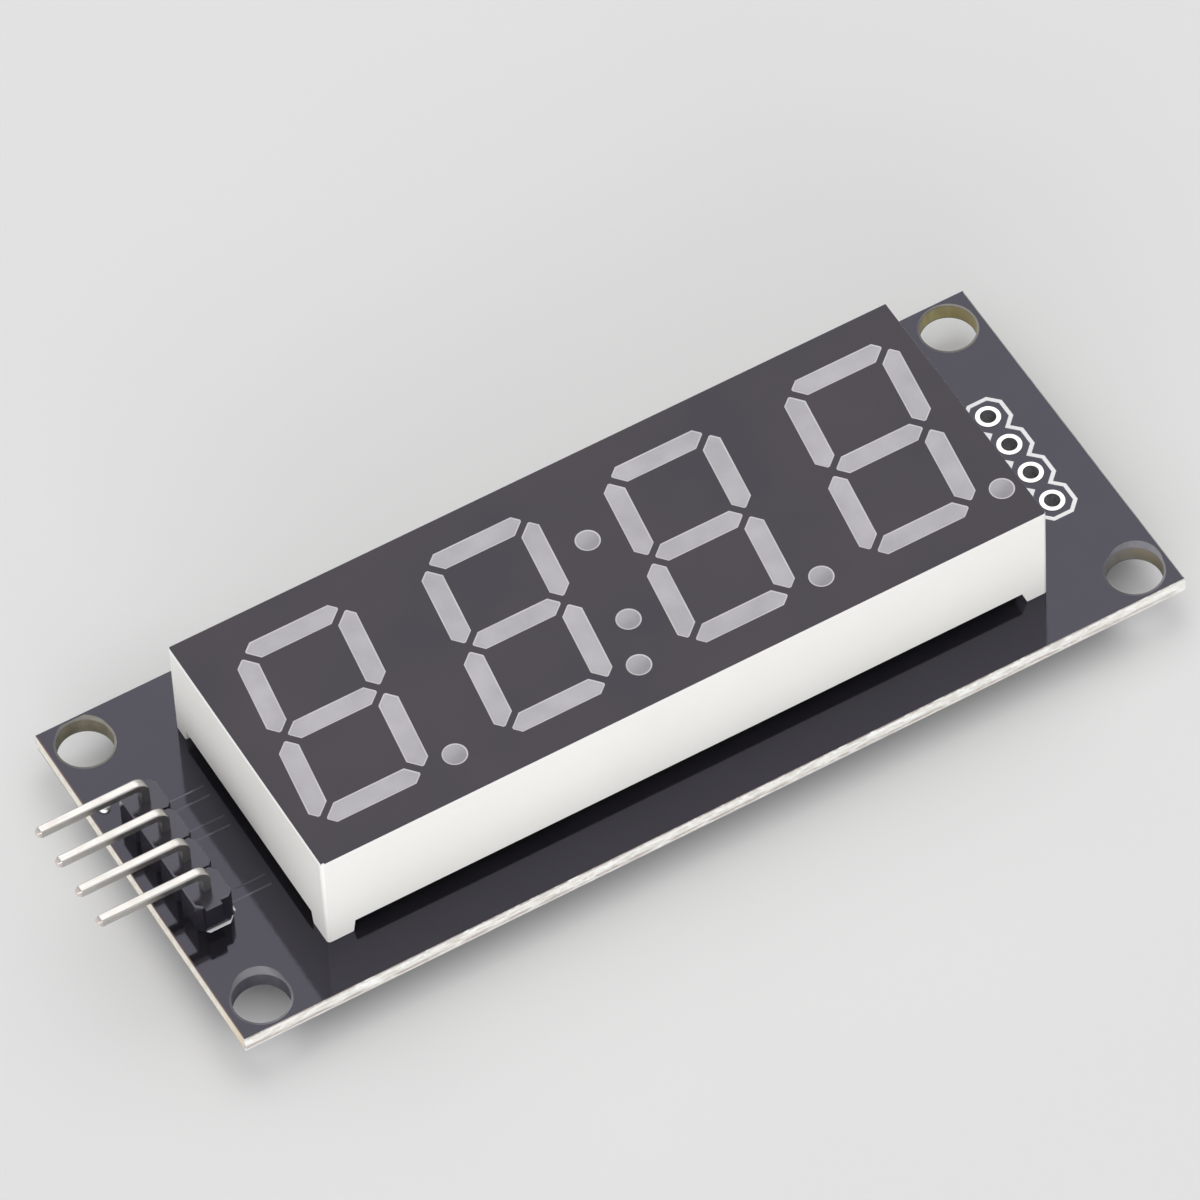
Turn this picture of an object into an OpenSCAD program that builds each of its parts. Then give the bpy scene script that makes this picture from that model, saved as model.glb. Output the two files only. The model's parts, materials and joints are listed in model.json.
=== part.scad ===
// Four digit seven segment display module. A moulded LED display stands on the
// front of a driver board, a bent pin header leaves the board's left end, a row
// of bare plated holes waits at the right end, and the driver chip and its
// resistors and capacitors are on the back.
// Millimetres. The origin is the middle of the four mounting holes on the
// board's front face. +X runs along the digits, +Y towards their tops and +Z
// out of the display.

/* [Digits] */
// Distance from one digit to the next
digit_pitch = 12.7; // [12.2:0.1:18]
// Height of a digit over its outer edges
digit_h = 14.4; // [12:0.1:20]
// Width of a digit over its outer edges, before it leans
digit_w = 8.2; // [7.4:0.1:8.6]
// Width of a segment
seg_t = 1.38; // [1:0.01:1.6]
// Gap between two segments, square to their mitre
seg_gap = 0.44; // [0.2:0.01:0.7]
// How far a digit's outer corners are cut off, along each side
corner_cut = 1.4; // [1:0.05:1.7]
// Length of the blunt end on each segment's point
point_blunt = 0.1; // [0.04:0.01:0.2]
// Lean of the digits, in degrees
lean_a = 7.7; // [0:0.1:10]
// Diameter of the decimal points and of the colon's dots
dot_d = 1.6; // [1:0.05:1.8]
// Distance from a digit's right side to its decimal point's centre
dot_reach = 0.64; // [0.4:0.02:0.8]
// Height of the colon's dots above and below the middle of the digits
colon_rise = 3.22; // [2:0.02:5]

/* [Display body] */
// Distance from the outer digits' sides to the ends of the display
end_margin = 2.0; // [1.8:0.05:5]
// Distance from the digits to the long sides of the display
face_margin = 2.3; // [2:0.05:4]
// Height of the display, feet and face layer included
display_h = 8.0; // [6.5:0.1:12]
// How far the display sits off the board's middle, across the board
display_y = -0.17; // [-0.4:0.01:0.4]
// Thickness of the dark face layer
face_t = 0.12; // [0.08:0.01:0.3]
// Width of the white rim round the face layer, cut at 45 degrees
rim_w = 0.08; // [0.04:0.01:0.3]
// How far the resin of the segments and dots ends below the front of the face layer
resin_sink = 0.02; // [0:0.01:0.05]
// Radius of the display's upright corners
corner_r = 0.25; // [0.1:0.05:0.6]
// Thickness of the display's walls
wall_t = 1.0; // [0.8:0.05:1.3]
// Height of the feet
foot_h = 1.0; // [0.6:0.05:1.6]
// Length of the left feet along the long sides
foot_left = 1.95; // [1.4:0.05:3]
// Length of the right feet along the long sides
foot_right = 1.8; // [1.4:0.05:3]
// Length of the front feet along the ends
foot_front = 2.0; // [1.4:0.05:3]
// Length of the back feet along the ends
foot_back = 1.4; // [1.4:0.05:3]
// How much a foot narrows down to its lower end
foot_draft = 0.16; // [0:0.02:0.6]
// How much the right feet narrow along the long sides
right_draft = 0.36; // [0:0.02:0.6]
// Width of a light well at its floor, as a part of its width at the face
well_taper = 0.5; // [0.4:0.02:0.8]

/* [Inside the display] */
// Thickness of the board that carries the LED chips
base_t = 1.0; // [0.6:0.1:1.6]
// Clearance between that board and the display's walls
base_gap = 0.05; // [0.02:0.01:0.15]
// Thickness of the resin behind that board
potting_t = 0.8; // [0.4:0.1:1]
// How far the resin stays inside the lower edge of the walls
potting_inset = 0.1; // [0.05:0.05:0.4]
// Side of an LED chip
die_w = 0.3; // [0.2:0.02:0.4]
// Height of an LED chip
die_t = 0.2; // [0.1:0.02:0.3]
// Distance from the display's long sides to its rows of pins
pin_inset = 1.88; // [1.6:0.02:2.2]
// Side of a display pin
display_pin_w = 0.5; // [0.4:0.02:0.6]

/* [Board] */
// Bare board past each end of the display
end_apron = 7.65; // [7:0.05:20]
// Bare board past each long side of the display
side_apron = 3.75; // [3.2:0.05:12]
// Thickness of the board
board_t = 1.2; // [0.8:0.1:2]
// Depth of the scored grooves that the board was snapped along
score_t = 0.35; // [0.2:0.05:0.38]
// How far those grooves cut back the long edges
score_w = 0.12; // [0.05:0.01:0.2]
// Diameter of the mounting holes
hole_d = 3.6; // [2.4:0.1:3.8]
// Distance from the board's ends to the mounting holes' centres
hole_inset_x = 2.3; // [2.1:0.05:2.6]
// Distance from the board's long edges to the mounting holes' centres
hole_inset_y = 2.2; // [2.1:0.05:2.6]

/* [Plated holes] */
// Pitch of the header and of the display's pins
pitch = 2.54; // [2:0.01:2.54]
// Diameter of a plated hole
plated_d = 1.04; // [0.96:0.02:1.2]
// Thickness of the plating in a hole
plating_t = 0.04; // [0.02:0.01:0.08]
// Diameter of the ring round a plated hole
ring_d = 1.6; // [1.4:0.05:1.8]
// Thickness of the copper and tin on both faces
copper_t = 0.04; // [0.03:0.01:0.07]
// Distance from the board's right end to the bare row of holes
spare_inset = 3.77; // [2.5:0.01:4.5]

/* [Pin header] */
// Distance from the board's left end to the header
header_inset = 2.65; // [2.2:0.05:3.6]
// Side of a header pin
pin_w = 0.6; // [0.5:0.02:0.66]
// Height of the pins' level run above the board's front face
run_rise = 4.16; // [3.9:0.02:7]
// Reach of the pins from their holes to their tips
run_reach = 7.3; // [4:0.1:12]
// Radius of the bend at the middle of the pin
bend_r = 0.64; // [0.5:0.02:0.9]
// Length of the cut back point on each end of a pin
tip_l = 0.3; // [0.1:0.05:0.5]
// Width of a pin's end, as a part of its full width
tip_taper = 0.5; // [0.3:0.05:0.9]
// Height of the header's block above the board
block_h = 2.54; // [2:0.02:2.8]
// Depth of the block, from its left side to its right side
block_d = 2.5; // [2.2:0.02:2.6]
// Cut corners of each cell of the block
cell_cut = 0.35; // [0.2:0.05:0.6]
// Bevel round the top of each cell
cell_bevel = 0.1; // [0.04:0.01:0.2]
// Width of the slit across the block's top between two cells
slit_w = 0.12; // [0.06:0.02:0.2]
// Depth of that slit
slit_t = 0.4; // [0.1:0.05:1]
// Length of the torn web at each end of the block
web_l = 0.35; // [0.1:0.05:0.5]
// Width of that web
web_w = 1.1; // [0.6:0.05:1.2]
// How far that web stands to the left of the block's middle
web_shift = 0.25; // [0:0.05:0.3]
// Height of that web's lower side above the board
web_rise = 0.8; // [0.3:0.1:1.2]

/* [Solder] */
// How far the pins reach out of the board's back
tail_out = 1.8; // [1.6:0.1:2.5]
// Height of the solder round a pin
solder_h = 0.9; // [0.5:0.05:1.2]
// Width of the solder at its base, as a part of the ring's width
solder_spread = 0.92; // [0.8:0.02:1]
// Radius of the solder where it ends on a pin, as a part of the pin's side
solder_neck = 0.72; // [0.71:0.01:0.78]
// Clearance between the solder and the wall of its hole
solder_gap = 0.03; // [0.01:0.01:0.06]
// How far a land on the back reaches past the lead or metal end on it
land_over = 0.3; // [0.2:0.05:0.35]
// How much wider a land is than the lead or metal end on it
land_margin = 0.14; // [0.04:0.02:0.3]
// Length of the solder in front of a lead or metal end, as a part of the land there
fillet_reach = 0.85; // [0.5:0.05:0.95]
// Height of the solder on a metal end, as a part of the resistor's height
fillet_rise = 0.7; // [0.3:0.05:0.9]
// Place of the middle of its slope between land and end, where 0.5 is a straight slope
fillet_sag = 0.35; // [0.2:0.05:0.45]
// Diameter of the bead of solder beside the header
bead_d = 0.74; // [0.4:0.02:1]
// Height of that bead
bead_h = 0.34; // [0.2:0.02:0.36]
// Distance from the board's left end to that bead
bead_inset = 1.15; // [0.7:0.05:1.3]
// Distance from the middle of the board to that bead
bead_y = 6.4; // [5.6:0.05:7]

/* [Driver chip] */
// Distance from the middle of the last leads to the ends of the chip's body
chip_end = 0.5; // [0.4:0.05:1]
// Width of the chip's body
chip_w = 3.9; // [3.4:0.05:4.2]
// Height of the chip's body
chip_t = 1.45; // [1.2:0.05:1.55]
// Gap under the chip's body
chip_lift = 0.12; // [0.08:0.01:0.2]
// Distance from the tips of one row of leads to the other
chip_span = 6.0; // [5.8:0.05:6.6]
// Pitch of the chip's leads
lead_pitch = 1.27; // [1:0.01:1.3]
// Number of leads on each side
lead_count = 8; // [4:1:8]
// Width of a lead
lead_w = 0.42; // [0.3:0.02:0.5]
// Thickness of a lead
lead_t = 0.2; // [0.15:0.01:0.25]
// Length of a lead's foot
lead_foot = 0.65; // [0.5:0.05:0.75]
// How far the leg of a lead slants
lead_slant = 0.08; // [0:0.02:0.16]
// How far a lead reaches into the chip's body
lead_bury = 0.35; // [0.2:0.05:0.5]
// How far the sides of the chip's body lean in towards its top and its underside
chip_draft = 0.12; // [0.06:0.02:0.2]
// Diameter of the round mark in a corner of the chip, which is as far from its sides
mark_d = 0.8; // [0.5:0.05:1]
// Depth of that mark
mark_t = 0.06; // [0.03:0.01:0.1]

/* [Resistors and capacitors] */
// Length of a resistor or capacitor
part_l = 2.0; // [1.6:0.05:2.2]
// Width of a resistor or capacitor
part_w = 1.25; // [0.8:0.05:1.4]
// Height of a resistor
resistor_t = 0.5; // [0.4:0.05:0.6]
// Height of a capacitor
capacitor_t = 0.85; // [0.6:0.05:1.25]
// Length of the metal on each end
cap_l = 0.4; // [0.3:0.05:0.5]
// Thickness of that metal
cap_t = 0.04; // [0.03:0.01:0.06]
// Distance from the chip's end to the middle of the resistors
resistor_gap = 5.25; // [2:0.05:7]
// Distance from the resistors to the capacitors, from middle to middle
capacitor_gap = 4.2; // [3:0.1:5]
// Spacing of the resistors and capacitors across the board
part_pitch = 2.6; // [2.4:0.1:3]

/* [Hidden] */
$fn = 48;

// Overshoot of a cut past the face that it opens
over = 0.2;
digit_count = 4;
header_pins = 4;
row_pins = 6;

display_w = (digit_count - 1) * digit_pitch + digit_w + 2 * end_margin;
display_d = digit_h + 2 * face_margin;
board_l = display_w + 2 * end_apron;
board_w = display_d + 2 * side_apron;
hole_x = board_l / 2 - hole_inset_x;
hole_y = board_w / 2 - hole_inset_y;
header_x = header_inset - board_l / 2;
spare_x = board_l / 2 - spare_inset;
pin_row_y = display_d / 2 - pin_inset;

// Levels inside the display, from the board's front face up
potting_z = foot_h + potting_inset;
base_z = potting_z + potting_t;
well_z = base_z + base_t;
body_top = display_h - face_t;
resin_top = display_h - resin_sink;
// The corners of the face layer are as sharp as those of the body under it allow
face_r = max(0.05, corner_r - rim_w / (1 - cos(45)));
tail_z = -board_t - tail_out;

// Places of the pins in a row of n, along one axis
function row(n) = [for (i = [0 : n - 1]) (i - (n - 1) / 2) * pitch];
header_ys = [for (y = row(header_pins)) -y];
display_pin_places = [
    for (side = [-1, 1])
        for (x = row(row_pins)) [x, display_y + side * pin_row_y]
];

// Outlines of the segments, in millimetres from the middle of an upright digit
half_w = digit_w / 2;
half_h = digit_h / 2;
mitre = seg_gap / sqrt(2);
// The top segment: its two points lie on the mitres and on the cut corners
top_points = [
    [half_w - (corner_cut + mitre) / 2, half_h - (corner_cut - mitre) / 2],
    [half_w - corner_cut, half_h],
    [corner_cut - half_w, half_h],
    [(corner_cut + mitre) / 2 - half_w, half_h - (corner_cut - mitre) / 2],
    [seg_t + mitre - half_w, half_h - seg_t],
    [half_w - seg_t - mitre, half_h - seg_t]
];
// The upper right segment, from its outer point round to its inner side
side_points = [
    [half_w - (corner_cut - mitre) / 2, half_h - (corner_cut + mitre) / 2],
    [half_w - seg_t, half_h - seg_t - mitre],
    [half_w - seg_t, seg_t / 2 + mitre],
    [half_w - seg_t / 2, mitre],
    [half_w, seg_t / 2 + mitre],
    [half_w, half_h - corner_cut]
];
middle_points = [
    [half_w - seg_t / 2 - mitre, 0],
    [half_w - seg_t - mitre, seg_t / 2],
    [seg_t + mitre - half_w, seg_t / 2],
    [seg_t / 2 + mitre - half_w, 0],
    [seg_t + mitre - half_w, -seg_t / 2],
    [half_w - seg_t - mitre, -seg_t / 2]
];

// Mirrors an outline, which keeps running counterclockwise
function flip(points, sx, sy) =
    let (last = len(points) - 1)
        [for (i = [0 : last]) let (p = points[sx * sy > 0 ? i : last - i]) [p[0] * sx, p[1] * sy]];
function step_to(a, b, d) = a + (b - a) * d / norm(b - a);
// Blunts the points numbered 0 and 3 of the six, which are the ends of a segment
function blunt(points) = [
    for (i = [0 : 5])
        for (turn = i % 3 == 0 ? [-1, 1] : [0])
            turn == 0 ? points[i] : step_to(points[i], points[(i + turn + 6) % 6], point_blunt)
];
function leaning(points) = [for (p = points) [p[0] + p[1] * tan(lean_a), p[1]]];
function mid_of(values) = (max(values) + min(values)) / 2;
function middle(points) = [mid_of([for (p = points) p[0]]), mid_of([for (p = points) p[1]])];
top_segment = blunt(top_points);
side_segment = blunt(side_points);
digit_outlines = [
    for (points = [
        top_segment, side_segment, flip(side_segment, 1, -1), flip(top_segment, 1, -1),
        flip(side_segment, -1, -1), flip(side_segment, -1, 1), blunt(middle_points)
    ]) leaning(points)
];
point_place = [half_w + dot_reach, seg_t / 2 - half_h];
colon_places = [
    for (side = [-1, 1])
        [side * colon_rise * tan(lean_a), display_y + side * colon_rise]
];
function digit_place(i) = [(i - (digit_count - 1) / 2) * digit_pitch, display_y];

// Shared shapes

// A flat plate with round upright corners, standing on z = 0
module rounded_plate(size, r, t) {
    linear_extrude(t) {
        square([size[0] - 2 * r, size[1]], center = true);
        square([size[0], size[1] - 2 * r], center = true);
        for (sx = [-1, 1], sy = [-1, 1])
            translate([sx * (size[0] / 2 - r), sy * (size[1] / 2 - r)])
                circle(r);
    }
}

// A bar along X whose two top edges are bevelled
module bevelled_bar(l, w, h, cut) {
    rotate([90, 0, 90])
        linear_extrude(l, center = true)
            polygon([
                [-w / 2, 0], [w / 2, 0], [w / 2, h - cut],
                [w / 2 - cut, h], [cut - w / 2, h], [-w / 2, h - cut]
            ]);
}

// A square wire's end, narrowed on all four sides, standing on z = 0
module wire_tip(w, l, k) {
    outline = [[-w / 2, 0], [w / 2, 0], [w / 2 * k, l], [-w / 2 * k, l]];
    intersection() {
        rotate([90, 0, 0])
            linear_extrude(w, center = true)
                polygon(outline);
        rotate([90, 0, 90])
            linear_extrude(w, center = true)
                polygon(outline);
    }
}

// An upright square pin from one level to another
module square_pin(place, w, z0, z1) {
    translate([place[0] - w / 2, place[1] - w / 2, z0])
        cube([w, w, z1 - z0]);
}

// Everything on the board's back is drawn with +Z out of the back face
module on_back() {
    translate([0, 0, -board_t])
        mirror([0, 0, 1])
            children();
}

// The plating of one hole, with its ring on both faces
module plated_ring() {
    bore_r = plated_d / 2;
    rotate_extrude()
        polygon([
            [bore_r, copper_t], [ring_d / 2, copper_t], [ring_d / 2, 0], [bore_r + plating_t, 0],
            [bore_r + plating_t, -board_t], [ring_d / 2, -board_t],
            [ring_d / 2, -board_t - copper_t], [bore_r, -board_t - copper_t]
        ]);
}

// Solder round a pin of width w, with the part of it that fills the hole
module solder_joint(place, w) {
    fill_r = plated_d / 2 - solder_gap;
    foot_r = ring_d / 2 * solder_spread;
    neck_r = w * solder_neck;
    steps = 5;
    flank = [
        for (i = [0 : steps])
            let (a = 90 * i / steps)
                [foot_r - (foot_r - neck_r) * sin(a), copper_t + solder_h * (1 - cos(a))]
    ];
    difference() {
        translate([place[0], place[1], 0])
            rotate_extrude()
                polygon(concat([[0, -board_t], [fill_r, -board_t], [fill_r, copper_t]], flank,
                    [[0, copper_t + solder_h]]));
        square_pin(place, w, -board_t - over, copper_t + solder_h + over);
    }
}

// The driver board

module circuit_board() {
    edge = board_w / 2;
    color("#2b282c")
        difference() {
            rotate([90, 0, 90])
                linear_extrude(board_l, center = true)
                    polygon([
                        [score_w - edge, 0], [-edge, -score_t], [-edge, score_t - board_t],
                        [score_w - edge, -board_t], [edge - score_w, -board_t],
                        [edge, score_t - board_t], [edge, -score_t], [edge - score_w, 0]
                    ]);
            for (sx = [-1, 1], sy = [-1, 1])
                translate([sx * hole_x, sy * hole_y, -board_t - over])
                    cylinder(h = board_t + 2 * over, d = hole_d);
            for (place = concat(
                [for (y = header_ys) [header_x, y]],
                [for (y = header_ys) [spare_x, y]],
                display_pin_places
            ))
                translate([place[0], place[1], -board_t - over])
                    cylinder(h = board_t + 2 * over, d = plated_d + 2 * plating_t);
        }
}

module header_rings() {
    color("gainsboro")
        for (y = header_ys)
            translate([header_x, y, 0])
                plated_ring();
}

module spare_rings() {
    color("gainsboro")
        for (y = header_ys)
            translate([spare_x, y, 0])
                plated_ring();
}

module display_rings() {
    color("gainsboro")
        for (place = display_pin_places)
            translate([place[0], place[1], 0])
                plated_ring();
}

// The display

// An outline drawn k times as large about its own middle, at level z
function ring_at(points, z, k) =
    let (c = middle(points))
        [for (p = points) concat(c + (p - c) * k, z)];

// Light well of one segment: it widens up to the face, then runs straight into it
module well(points) {
    n = len(points);
    sides = [
        for (low = [0, n], i = [0 : n - 1])
            let (j = (i + 1) % n)
                [low + i, low + n + i, low + n + j, low + j]
    ];
    polyhedron(
        concat(ring_at(points, well_z, well_taper), ring_at(points, body_top, 1),
            ring_at(points, resin_top, 1)),
        concat([[for (i = [0 : n - 1]) i]], sides, [[for (i = [n - 1 : -1 : 0]) 2 * n + i]])
    );
}

module round_well(place) {
    translate([place[0], place[1], well_z])
        cylinder(h = body_top - well_z, d1 = dot_d * well_taper, d2 = dot_d);
    translate([place[0], place[1], body_top])
        cylinder(h = resin_top - body_top, d = dot_d);
}

module all_wells() {
    for (i = [0 : digit_count - 1])
        translate(digit_place(i)) {
            for (points = digit_outlines)
                well(points);
            round_well(point_place);
        }
    for (place = colon_places)
        round_well(place);
}

module display_housing() {
    size = [display_w, display_d];
    color("whitesmoke")
        difference() {
            translate([0, display_y, 0])
                intersection() {
                    rounded_plate(size, corner_r, body_top);
                    bevelled_bar(display_w + over, display_d, body_top, rim_w);
                    rotate([0, 0, 90])
                        bevelled_bar(display_d + over, display_w, body_top, rim_w);
                }
            hollow(-over, well_z, 0);
            all_wells();
            foot_notches();
        }
}

// A block that fills the display's hollow between two levels, but for a clearance
module hollow(z0, z1, clearance) {
    w = display_w - 2 * (wall_t + clearance);
    d = display_d - 2 * (wall_t + clearance);
    translate([-w / 2, display_y - d / 2, z0])
        cube([w, d, z1 - z0]);
}

// Outline of a gap between two feet, from a to b where it meets the wall
module foot_gap(a, b, b_draft) {
    polygon([
        [a - foot_draft, -over], [b + b_draft, -over], [b + b_draft, 0],
        [b, foot_h], [a, foot_h], [a - foot_draft, 0]
    ]);
}

// The gaps between the feet on all four sides
module foot_notches() {
    translate([0, display_y, 0]) {
        rotate([90, 0, 0])
            linear_extrude(display_d + 2 * over, center = true)
                foot_gap(foot_left - display_w / 2, display_w / 2 - foot_right, right_draft);
        rotate([90, 0, 90])
            linear_extrude(display_w + 2 * over, center = true)
                foot_gap(foot_front - display_d / 2, display_d / 2 - foot_back, foot_draft);
    }
}

// The openings of all wells in the display's face
module all_windows() {
    for (i = [0 : digit_count - 1])
        translate(digit_place(i)) {
            for (points = digit_outlines)
                polygon(points);
            translate(point_place)
                circle(d = dot_d);
        }
    for (place = colon_places)
        translate(place)
            circle(d = dot_d);
}

module display_face() {
    size = [display_w - 2 * rim_w, display_d - 2 * rim_w];
    color("#4c464c")
        difference() {
            translate([0, display_y, body_top])
                rounded_plate(size, face_r, face_t);
            translate([0, 0, body_top - over])
                linear_extrude(face_t + 2 * over)
                    all_windows();
        }
}

// The LED chip that stands in the floor of a well
module die(place, w, t) {
    translate([place[0] - w / 2, place[1] - w / 2, well_z])
        cube([w, w, t]);
}

module digit_segments(i) {
    color("#bcb8be")
        translate(digit_place(i)) {
            for (points = digit_outlines)
                difference() {
                    well(points);
                    die(middle(points), die_w, die_t);
                }
            difference() {
                round_well(point_place);
                die(point_place, die_w, die_t);
            }
        }
}

module digit_1_segments() {
    digit_segments(0);
}

module digit_2_segments() {
    digit_segments(1);
}

module digit_3_segments() {
    digit_segments(2);
}

module digit_4_segments() {
    digit_segments(3);
}

module colon_dots() {
    color("#bcb8be")
        for (place = colon_places)
            difference() {
                round_well(place);
                die(place, die_w, die_t);
            }
}

module led_board() {
    color("#e8e4d4")
        difference() {
            hollow(base_z, well_z, base_gap);
            for (place = display_pin_places)
                square_pin(place, display_pin_w, base_z - over, well_z + over);
        }
}

module led_chips() {
    color("#d8c070") {
        for (i = [0 : digit_count - 1])
            translate(digit_place(i)) {
                for (points = digit_outlines)
                    die(middle(points), die_w, die_t);
                die(point_place, die_w, die_t);
            }
        for (place = colon_places)
            die(place, die_w, die_t);
    }
}

module display_potting() {
    color("#d9d2b8")
        difference() {
            hollow(potting_z, base_z, 0);
            for (place = display_pin_places)
                square_pin(place, display_pin_w, potting_z - over, base_z + over);
        }
}

module display_pins() {
    color("silver")
        for (place = display_pin_places)
            square_pin(place, display_pin_w, tail_z, well_z);
}

// The pin header

// Outline of one cell, an octagon with only its corners cut
module cell_outline(inset) {
    x = block_d / 2 - inset;
    y = pitch / 2 - inset;
    c = cell_cut;
    polygon([
        [x - c, y], [c - x, y], [-x, y - c], [-x, c - y],
        [c - x, -y], [x - c, -y], [x, c - y], [x, y - c]
    ]);
}

module header_block() {
    block_l = header_pins * pitch;
    bevel_z = block_h - cell_bevel;
    color("#26242a")
        difference() {
            union() {
                for (y = header_ys)
                    translate([header_x, y, copper_t])
                        linear_extrude(bevel_z - copper_t)
                            cell_outline(0);
                for (y = header_ys)
                    translate([header_x, y, bevel_z])
                        linear_extrude(cell_bevel, scale = 1 - 2 * cell_bevel / pitch)
                            cell_outline(0);
                translate([header_x - web_shift - web_w / 2, -block_l / 2 - web_l, web_rise])
                    cube([web_w, block_l + 2 * web_l, block_h - web_rise]);
            }
            for (y = header_ys)
                square_pin([header_x, y], pin_w, -over, block_h + over);
            for (i = [1 : header_pins - 1])
                translate([header_x, (header_ys[i - 1] + header_ys[i]) / 2, block_h])
                    cube([block_d + over, slit_w, 2 * slit_t], center = true);
        }
}

// A header pin: a leg up from its tail, a quarter bend and a level run to the left
module bent_pin(y) {
    run_l = run_reach - bend_r - tip_l;
    color("#dcd8d2")
        translate([header_x, y, 0]) {
            square_pin([0, 0], pin_w, tail_z + tip_l, run_rise - bend_r);
            translate([0, 0, tail_z + tip_l])
                mirror([0, 0, 1])
                    wire_tip(pin_w, tip_l, tip_taper);
            translate([-bend_r, 0, run_rise - bend_r])
                rotate([90, 0, 0])
                    rotate_extrude(angle = 90)
                        translate([bend_r, 0])
                            square(pin_w, center = true);
            translate([-bend_r - run_l, -pin_w / 2, run_rise - pin_w / 2])
                cube([run_l, pin_w, pin_w]);
            translate([-bend_r - run_l, 0, run_rise])
                rotate([0, -90, 0])
                    wire_tip(pin_w, tip_l, tip_taper);
        }
}

module header_pin_1() {
    bent_pin(header_ys[0]);
}

module header_pin_2() {
    bent_pin(header_ys[1]);
}

module header_pin_3() {
    bent_pin(header_ys[2]);
}

module header_pin_4() {
    bent_pin(header_ys[3]);
}

// The parts on the back, drawn with +Z out of the back face

chip_l = (lead_count - 1) * lead_pitch + 2 * chip_end;
chip_z = copper_t + chip_lift;
lead_z = chip_z + (chip_t - lead_t) / 2;
heel_y = chip_span / 2 - lead_foot;
lead_root = chip_w / 2 - lead_bury;
resistor_x = -chip_l / 2 - resistor_gap;
small_places = concat(
    [for (side = [-1, 1]) [resistor_x, side * part_pitch / 2]],
    [for (i = [-1 : 1]) [resistor_x - capacitor_gap, i * part_pitch]]
);
resistor_places = [small_places[0], small_places[1]];
capacitor_places = [small_places[2], small_places[3], small_places[4]];

// One lead in the plane across the board, from its toe to its root in the body
module lead_outline() {
    polygon([
        [chip_span / 2, copper_t], [chip_span / 2, copper_t + lead_t],
        [heel_y, copper_t + lead_t], [heel_y - lead_slant, lead_z + lead_t],
        [lead_root, lead_z + lead_t], [lead_root, lead_z],
        [heel_y - lead_t - lead_slant, lead_z], [heel_y - lead_t, copper_t]
    ]);
}

module all_leads() {
    for (side = [-1, 1], i = [0 : lead_count - 1])
        translate([(i - (lead_count - 1) / 2) * lead_pitch, 0, 0])
            rotate([0, 0, side == 1 ? 0 : 180])
                rotate([90, 0, 90])
                    linear_extrude(lead_w, center = true)
                        lead_outline();
}

// Bar along X with both its sides drafted away from the middle of its height
module drafted_bar(l, w) {
    h = chip_t / 2;
    rotate([90, 0, 90])
        linear_extrude(l, center = true)
            polygon([
                [w / 2 - chip_draft, 0], [w / 2, h], [w / 2 - chip_draft, chip_t],
                [chip_draft - w / 2, chip_t], [-w / 2, h], [chip_draft - w / 2, 0]
            ]);
}

module driver_chip() {
    color("#232226")
        on_back()
            difference() {
                translate([0, 0, chip_z])
                    intersection() {
                        drafted_bar(chip_l + over, chip_w);
                        rotate([0, 0, 90])
                            drafted_bar(chip_w + over, chip_l);
                    }
                all_leads();
                translate([mark_d - chip_l / 2, mark_d - chip_w / 2, chip_z + chip_t - mark_t])
                    cylinder(h = mark_t + over, d = mark_d);
            }
}

module driver_chip_leads() {
    color("silver")
        on_back()
            all_leads();
}

// The metal end caps of a small part of height h, or its body where body is true
module small_part(h, body) {
    core = [part_l - 2 * cap_t, part_w - 2 * cap_t, h - 2 * cap_t];
    translate([0, 0, copper_t + h / 2])
        if (body)
            cube(core, center = true);
        else
            for (side = [-1, 1])
                difference() {
                    translate([side * (part_l - cap_l) / 2, 0, 0])
                        cube([cap_l, part_w, h], center = true);
                    cube(core, center = true);
                }
}

module resistors() {
    color("#1d1d20")
        on_back()
            for (place = resistor_places)
                translate(place)
                    small_part(resistor_t, true);
}

module resistor_ends() {
    color("silver")
        on_back()
            for (place = resistor_places)
                translate(place)
                    small_part(resistor_t, false);
}

module capacitors() {
    color("#a58a63")
        on_back()
            for (place = capacitor_places)
                translate(place)
                    small_part(capacitor_t, true);
}

module capacitor_ends() {
    color("silver")
        on_back()
            for (place = capacitor_places)
                translate(place)
                    small_part(capacitor_t, false);
}

// The copper lands under the chip's leads and under the small parts
module back_lands() {
    lead_land = [lead_w + land_margin, lead_foot + lead_t + 2 * land_over];
    end_land = [cap_l + 2 * land_over, part_w + land_margin];
    color("gainsboro")
        on_back() {
            for (side = [-1, 1], i = [0 : lead_count - 1])
                translate([(i - (lead_count - 1) / 2) * lead_pitch,
                    side * (chip_span / 2 - (lead_foot + lead_t) / 2), copper_t / 2])
                    cube([lead_land[0], lead_land[1], copper_t], center = true);
            for (place = small_places, side = [-1, 1])
                translate([place[0] + side * (part_l - cap_l) / 2, place[1], copper_t / 2])
                    cube([end_land[0], end_land[1], copper_t], center = true);
        }
}

// A wedge of solder that stands on a land and leans on what is behind it, towards -X
module solder_wedge(l, w, h) {
    translate([0, 0, copper_t])
        rotate([90, 0, 0])
            linear_extrude(w, center = true)
                polygon([[0, 0], [l, 0], [l * fillet_sag, h * fillet_sag], [0, h]]);
}

module surface_solder() {
    wedge_l = land_over * fillet_reach;
    color("silver")
        on_back() {
            for (side = [-1, 1], i = [0 : lead_count - 1])
                translate([(i - (lead_count - 1) / 2) * lead_pitch, side * chip_span / 2, 0])
                    rotate([0, 0, side * 90])
                        solder_wedge(wedge_l, lead_w, lead_t);
            for (place = small_places, side = [-1, 1])
                translate([place[0] + side * part_l / 2, place[1], 0])
                    rotate([0, 0, side == 1 ? 0 : 180])
                        solder_wedge(wedge_l, part_w, resistor_t * fillet_rise);
        }
}

// The soldered pins

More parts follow.
